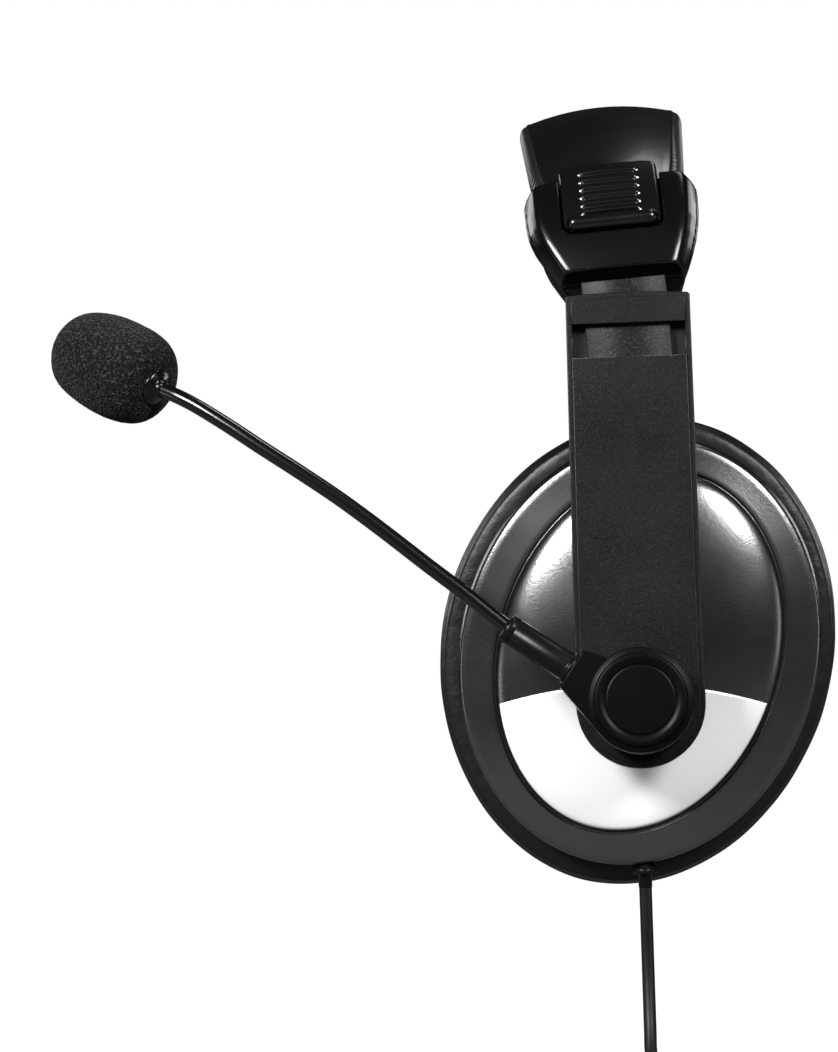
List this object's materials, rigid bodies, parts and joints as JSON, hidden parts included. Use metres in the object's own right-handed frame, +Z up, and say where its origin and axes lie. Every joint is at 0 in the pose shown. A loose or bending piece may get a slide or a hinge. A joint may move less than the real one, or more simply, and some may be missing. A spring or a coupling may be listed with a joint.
{
  "type": "office headset",
  "caption": "Over-ear office headset: padded headband on two sliding arms, oval ear cups, swinging microphone boom with foam windshield, and one cord.",
  "frame": {"origin": "midway between the two ear cushions, at the height of the cups' centres", "axes": "+Z up, the wearer faces -X, the wearer's left (the boom's side) is -Y"},
  "size_m": [0.1816, 0.1998, 0.3252],
  "materials": {
    "band_leatherette": "smooth satin black leatherette",
    "ribbed_pad": "soft ribbed black pad",
    "spring_steel": "plain steel",
    "gloss_black": "polished black plastic",
    "soft_black": "soft black plastic",
    "strip_grey": "matte grey strip",
    "steel": "zinc-plated steel",
    "arm_black": "textured black plastic",
    "hub_black": "satin black plastic",
    "rubber_black": "black rubber",
    "inner_plastic": "plain moulded plastic",
    "shell_black": "fine spark-eroded black plastic",
    "insert_silver": "bright silver lacquer",
    "film": "thin polymer film",
    "cloth_black": "acoustic cloth",
    "cushion_leatherette": "soft black leatherette",
    "cord_black": "soft black cord jacket",
    "plug_metal": "gold-plated",
    "boom_black": "glossy black tube",
    "foam_black": "open-cell foam"
  },
  "bodies": {
    "headband": {"band_cover": "band_leatherette", "band_pad": "ribbed_pad", "band_spring": "spring_steel", "end_cap_outer_left": "gloss_black", "end_cap_outer_right": "gloss_black", "end_cap_inner_left": "gloss_black", "end_cap_inner_right": "gloss_black", "grip_tab_left": "soft_black", "grip_tab_right": "soft_black", "slider_strip_left": "strip_grey", "slider_strip_right": "strip_grey", "cap_screws": "steel"},
    "arm_left": {"arm_shell_left": "arm_black", "arm_plate_left": "arm_black", "arm_screws_left": "steel", "boom_axle": "steel", "friction_washer": "rubber_black", "swivel_pin_left": "steel"},
    "arm_right": {"arm_shell_right": "arm_black", "arm_plate_right": "arm_black", "arm_screws_right": "steel", "pivot_cap_right": "hub_black", "swivel_pin_right": "steel"},
    "gimbal_left": {"pivot_block_left": "inner_plastic", "tilt_pin_left": "steel"},
    "gimbal_right": {"pivot_block_right": "inner_plastic", "tilt_pin_right": "steel"},
    "cup_left": {"cup_shell_left": "shell_black", "cup_insert_left": "insert_silver", "baffle_left": "inner_plastic", "driver_frame_left": "inner_plastic", "driver_magnet_left": "spring_steel", "diaphragm_left": "film", "speaker_cloth_left": "cloth_black", "cushion_left": "cushion_leatherette", "cup_screws_left": "steel", "cord_relief": "rubber_black", "cord_lead": "cord_black", "cord_coil": "cord_black", "cord_tie": "rubber_black", "cord_tail": "cord_black", "plug_body": "soft_black", "plug_shank": "plug_metal"},
    "cup_right": {"cup_shell_right": "shell_black", "cup_insert_right": "insert_silver", "baffle_right": "inner_plastic", "driver_frame_right": "inner_plastic", "driver_magnet_right": "spring_steel", "diaphragm_right": "film", "speaker_cloth_right": "cloth_black", "cushion_right": "cushion_leatherette", "cup_screws_right": "steel"},
    "boom": {"boom_hub": "hub_black", "hub_cap": "hub_black", "boom_sleeve": "rubber_black", "boom_tube": "boom_black", "mic_holder": "gloss_black", "mic_capsule": "inner_plastic", "mic_foam": "foam_black"}
  },
  "joints": [
    {"name": "arm_slide_left", "type": "slide", "parent": "headband", "child": "arm_left", "axis": [0.0605, -0.1392, -0.9884], "range_m": [0, 0.028]},
    {"name": "cup_swivel_left", "type": "hinge", "parent": "arm_left", "child": "gimbal_left", "pos_m": [0, -0.08148, -0.01158], "axis": [0, 0.1392, 0.9903], "range_deg": [-5, 5]},
    {"name": "cup_tilt_left", "type": "hinge", "parent": "gimbal_left", "child": "cup_left", "pos_m": [0, -0.07653, -0.01228], "axis": [1, 0, 0], "range_deg": [-5, 3.5]},
    {"name": "arm_slide_right", "type": "slide", "parent": "headband", "child": "arm_right", "axis": [0.0605, 0.1392, -0.9884], "range_m": [0, 0.028]},
    {"name": "cup_swivel_right", "type": "hinge", "parent": "arm_right", "child": "gimbal_right", "pos_m": [0, 0.08148, -0.01158], "axis": [0, -0.1392, 0.9903], "range_deg": [-5, 5]},
    {"name": "cup_tilt_right", "type": "hinge", "parent": "gimbal_right", "child": "cup_right", "pos_m": [0, 0.07653, -0.01228], "axis": [1, 0, 0], "range_deg": [-3.5, 5]},
    {"name": "boom_swing", "type": "hinge", "parent": "arm_left", "child": "boom", "pos_m": [0, -0.0899, -0.0104], "axis": [0, -0.9903, 0.1392], "range_deg": [-57, 58.7]}
  ]
}
